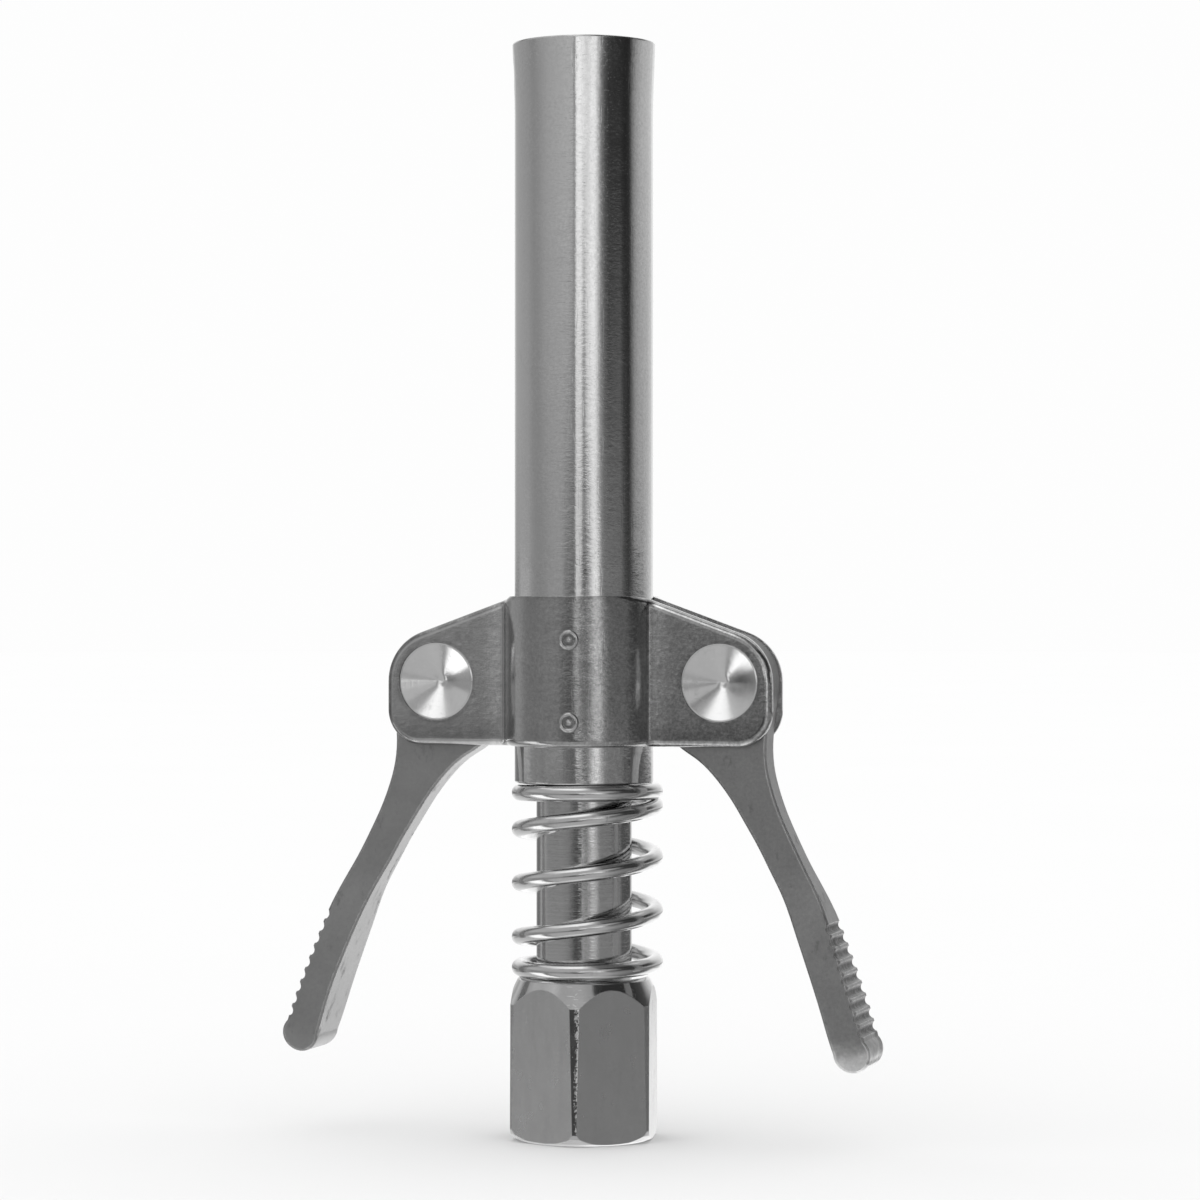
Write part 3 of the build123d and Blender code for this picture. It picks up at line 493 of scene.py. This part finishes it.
    # relief
    normal = rounded
    if plumb:
        part = t.add("ShaderNodeSeparateXYZ")
        t.put(part.inputs[0], rounded)
        lean = t.math("MULTIPLY", part.outputs[2], t.map_range(t.math("ABSOLUTE", part.outputs[2]), 0.05, 0.12, 0, 1, True))
        again = t.add("ShaderNodeCombineXYZ")
        t.put(again.inputs[0], part.outputs[0])
        t.put(again.inputs[1], part.outputs[1])
        t.put(again.inputs[2], lean)
        normal = t.vmath("NORMALIZE", again.outputs[0])
    if ripple:
        waves = t.noise(t.stretch(mm, ripple_scale, loc=(1, 6, 2)), 1.0, 4.0, 0.62)
        where = t.map_range(t.noise(mm, 0.35, 3.0, 0.6), 0.38, 0.60, 0.35, 1.0, True)
        normal = bump(t, t.math("MULTIPLY", waves, where), ripple, normal)
    if peel:
        normal = bump(t, t.noise(mm, peel_scale, 3.0, 0.55), peel, normal)
    if streak:
        normal = bump(t, brush, streak, normal)
    if fine:
        normal = bump(t, t.noise(mm, 6.5, 3.0, 0.7), fine, normal)
    if lathe:
        ring = t.noise(t.stretch(mm, (0.02, 0.02, 4.2)), 1.0, 4.0, 0.7)
        normal = bump(t, ring, lathe, normal)
    if dents:
        pits = t.voronoi(mm, 0.55)
        deep = t.map_range(pits, 0.0, 0.20, 1, 0, True)
        few = t.map_range(t.noise(mm, 0.21, 1.0, 0.5), 0.50, 0.58, 0, 1, True)
        normal = bump(t, t.math("MULTIPLY", deep, few), -dents, normal)
    nick = scratches(t, mm, 1.0, (3.0, 3.0, 0.16))
    nick = t.math("ADD", nick, scratches(t, mm, 2.6, (0.5, 4.5, 3.8), 0.3), clamp=True)
    normal = bump(t, nick, -0.0015, normal)
    t.put(p.inputs["Normal"], normal)
    return m


sleeve_mat = steel("sleeve_steel", (0.62, 0.62, 0.62), 0.085, (2.6, 2.6, 0.07), peel=0.0030, peel_scale=0.85,
                   streak=0.0018, fine=0.0004, mottle=0.035, dirt=0.06, rough_var=0.05, underside_shade=0.10,
                   ripple=0.0080, ripple_scale=(1.5, 1.5, 3.4), plumb=True, grit=0.34)
stem_mat = steel("stem_steel", (0.60, 0.60, 0.60), 0.065, (0.05, 0.05, 3.2), peel=0.0012, streak=0.0012, lathe=0.0026,
                 mottle=0.05, dirt=0.10, ripple=0.009, ripple_scale=(1.6, 1.6, 3.6))
fitting_mat = steel("fitting_steel", (0.58, 0.58, 0.58), 0.24, (1.1, 1.1, 0.25), peel=0.0030, streak=0.0006, fine=0.0006,
                    mottle=0.06, wear=0.35, dirt=0.12, bevel_mm=0.14, turned=0.08, grit=0.05, corner=(8.577, 0.01204))
bracket_mat = steel("bracket_steel", (0.42, 0.42, 0.42), 0.125, (0.5, 0.5, 2.2), peel=0.0050, peel_scale=0.7,
                    streak=0.0016, fine=0.0045, mottle=0.10, wear=0.25, dirt=0.22, dents=0.004, grit=0.60, edge_darkening=0.45,
                    ripple=0.012, ripple_scale=(1.8, 1.8, 3.2), pressed=8.45)
lever_look = dict(peel=0.0060, fine=0.0050, mottle=0.13, wear=0.70, dirt=0.16, dents=0.008, bevel_mm=0.25, grit=0.18)


def tooth_row(side, splay):
    """A point on the outer edge of a lever's grip, and the direction into the lever there, in mm."""
    a = math.radians(splay)
    ends = [(x * math.cos(a) - z * math.sin(a), x * math.sin(a) + z * math.cos(a))
            for x, z in ((12.62, -26.4), (16.42, -37.4))]
    (x0, z0), (x1, z1) = ends
    length = math.hypot(x1 - x0, z1 - z0)
    inward = (-side * (z0 - z1) / length, 0.0, -(x1 - x0) / length)
    return (side * (15.85 + x0), 0.0, 49.3 + z0), inward


lever_left_mat = steel("lever_left_steel", (0.325, 0.325, 0.325), 0.50, (0.8, 0.8, 0.8), grooves=tooth_row(-1, 0.85), eye=(-15.85, 49.3), outer=-1,
                       **lever_look)
lever_right_mat = steel("lever_right_steel", (0.31, 0.31, 0.31), 0.50, (0.8, 0.8, 0.8), grooves=tooth_row(1, -0.85), eye=(15.85, 49.3), outer=1, rub=1.45,
                        **lever_look)
jaw_mat = steel("jaw_steel", (0.46, 0.46, 0.46), 0.30, (1.6, 1.6, 0.3), peel=0.0015, fine=0.0010, mottle=0.08, dirt=0.2)
pin_mat = steel("pin_steel", (0.68, 0.68, 0.68), 0.17, (1.2, 0.4, 1.2), peel=0.0030, mottle=0.04, dirt=0.10,
                rough_var=0.03, bevel_mm=0.10)
wire_mat = steel("spring_wire", (0.60, 0.60, 0.60), 0.15, (0.6, 0.6, 2.0), peel=0.0016, mottle=0.06, dirt=0.16,
                 rough_var=0.05, bevel_mm=0.05)
ball_mat = steel("ball_steel", (0.70, 0.70, 0.71), 0.06, (1.0, 1.0, 1.0), peel=0.0004, mottle=0.03, dirt=0.05, rough_var=0.02)
brass_mat = steel("valve_brass", (0.72, 0.52, 0.24), 0.22, (0.2, 0.2, 3.0), peel=0.0010, lathe=0.0012, mottle=0.08, dirt=0.22)


def rubber(name):
    m, t, p, mm = start(name)
    p.inputs["Metallic"].default_value = 0.0
    cloud = t.noise(mm, 0.9, 4.0, 0.6)
    t.put(p.inputs["Base Color"], t.ramp(cloud, [(0.3, 0.018), (0.7, 0.045)]))
    t.put(p.inputs["Roughness"], t.map_range(t.noise(mm, 3.0, 3.0, 0.6), 0.3, 0.7, 0.42, 0.66))
    t.put(p.inputs["Normal"], bump(t, t.noise(mm, 8.0, 3.0, 0.6), 0.004))
    return m


rubber_mat = rubber("seal_rubber")

wears = {
    "inlet_fitting": fitting_mat, "stem": stem_mat, "stem_o_ring": rubber_mat, "sleeve": sleeve_mat,
    "bracket_front": bracket_mat, "bracket_rear": bracket_mat, "pivot_pin_left": pin_mat,
    "pivot_pin_right": pin_mat, "lever_left": lever_left_mat, "lever_right": lever_right_mat, "jaw_1": jaw_mat,
    "jaw_2": jaw_mat, "jaw_3": jaw_mat, "jaw_ring": wire_mat, "seal_piston": brass_mat,
    "nose_seal": rubber_mat, "valve_seat": brass_mat, "check_ball": ball_mat, "main_spring": wire_mat,
    "seal_spring": wire_mat, "ball_spring": wire_mat,
}
for name, mat in wears.items():
    o = nodes[name]
    if not o.material_slots:
        o.data.materials.append(mat)
    for s in o.material_slots:
        s.material = mat


# ----------------------------------------------------------------- springs
def wire(name, table, radius_mm, wire_mm, per_45=6, sides=20, centre=(0.0, 0.0)):
    """A coil of round wire. table holds (angle in degrees from +X, height in mm) along its centreline."""
    shift = Vector((centre[0], centre[1], 0.0)) / 1000
    pts = []
    for i in range(len(table) - 1):
        (a0, z0), (a1, z1) = table[i], table[i + 1]
        zp = table[i - 1][1] if i else z0 - (z1 - z0)
        ap = table[i - 1][0] if i else a0 - (a1 - a0)
        zn = table[i + 2][1] if i + 2 < len(table) else z1 + (z1 - z0)
        an = table[i + 2][0] if i + 2 < len(table) else a1 + (a1 - a0)
        m0 = (z1 - zp) / (a1 - ap) * (a1 - a0)
        m1 = (zn - z0) / (an - a0) * (a1 - a0)
        steps = max(2, round(per_45 * (a1 - a0) / 45))
        for k in range(steps + (i == len(table) - 2)):
            s = k / steps
            z = ((2 * s**3 - 3 * s**2 + 1) * z0 + (s**3 - 2 * s**2 + s) * m0
                 + (-2 * s**3 + 3 * s**2) * z1 + (s**3 - s**2) * m1)
            a = math.radians(a0 + s * (a1 - a0))
            pts.append(Vector((radius_mm * math.cos(a), radius_mm * math.sin(a), z)) / 1000 + shift)
    verts, faces = [], []
    w = wire_mm / 1000
    n = len(pts)

    def ring(centre, along, r):
        out = Vector((centre.x - shift.x, centre.y - shift.y, 0)).normalized()
        up_dir = along.cross(out).normalized()
        out = up_dir.cross(along).normalized()
        first = len(verts)
        for k in range(sides):
            a = 2 * math.pi * k / sides
            verts.append(centre + r * (math.cos(a) * out + math.sin(a) * up_dir))
        return first

    rings = []
    tangent = [(pts[min(i + 1, n - 1)] - pts[max(i - 1, 0)]).normalized() for i in range(n)]
    # a small chamfer at each cut end, then the cap
    rings.append(ring(pts[0], tangent[0], w * 0.80))
    rings.append(ring(pts[0] + tangent[0] * w * 0.16, tangent[0], w))
    start_at = next(i for i in range(n) if (pts[i] - pts[0]).length > w * 0.3)
    stop_at = next(i for i in range(n - 1, 0, -1) if (pts[i] - pts[-1]).length > w * 0.3)
    for i in range(start_at, stop_at + 1):
        rings.append(ring(pts[i], tangent[i], w))
    rings.append(ring(pts[-1] - tangent[-1] * w * 0.16, tangent[-1], w))
    rings.append(ring(pts[-1], tangent[-1], w * 0.80))
    for a, b in zip(rings, rings[1:]):
        for k in range(sides):
            k2 = (k + 1) % sides
            faces.append((a + k, a + k2, b + k2, b + k))
    faces.append(tuple(rings[0] + k for k in reversed(range(sides))))
    faces.append(tuple(rings[-1] + k for k in range(sides)))
    mesh = bpy.data.meshes.new(name)
    mesh.from_pydata([tuple(v) for v in verts], [], faces)
    mesh.validate()
    for poly in mesh.polygons:
        poly.use_smooth = len(poly.vertices) == 4
    mesh.materials.append(wire_mat)
    o = bpy.data.objects.new(name, mesh)
    scene.collection.objects.link(o)
    return o


travel = {j["name"]: j for j in frame["joints"]}
main_table = ([(-215, 18.46), (-180, 18.46), (-135, 18.48), (-90, 18.55), (-45, 18.68), (0, 18.95), (45, 19.40),
               (90, 20.05)]
              + [(90 + 45 * i, 20.05 + 0.725 * i) for i in range(1, 21)]
              + [(1035, 35.18), (1080, 35.76), (1125, 36.28), (1170, 36.70), (1215, 37.03), (1260, 37.26),
                 (1305, 37.42), (1350, 37.50), (1395, 37.53), (1440, 37.54), (1462, 37.54)])
spring = wire("main_coil", main_table, 7.3, 0.875, 6, 24, (0.335, 0.10))
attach(spring, "root")
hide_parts("main_spring")
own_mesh(spring)

# the two small springs inside, for the seal and the ball
inner = wire("seal_coil", [(30 * i, 97.80 + 5.0 * i / 48) for i in range(49)], 2.5, 0.3, 6, 16)
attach(inner, "root")
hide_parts("seal_spring")
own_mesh(inner)
inner = wire("ball_coil", [(30 * i, 17.85 + 10.8 * i / 100) for i in range(101)], 1.25, 0.2, 6, 14)
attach(inner, "root")
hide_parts("ball_spring")
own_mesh(inner)

# ------------------------------------------------------------------- floor
bpy.ops.mesh.primitive_circle_add(vertices=96, radius=4.0, fill_type="NGON", location=(0, 0, 0))
floor = bpy.context.object
floor.name = "floor"
m, t, p, mm = start("floor_paper")
paper = t.noise(t.vmath("SCALE", t.add("ShaderNodeTexCoord").outputs["Object"], scale=1.0), 9.0, 3.0, 0.5)
t.put(p.inputs["Base Color"], t.ramp(paper, [(0.35, (0.797, 0.797, 0.797)), (0.65, (0.80, 0.80, 0.80))]))
p.inputs["Roughness"].default_value = 0.9
p.inputs["Specular IOR Level"].default_value = 0.0
floor.data.materials.append(m)
floor.visible_glossy = False
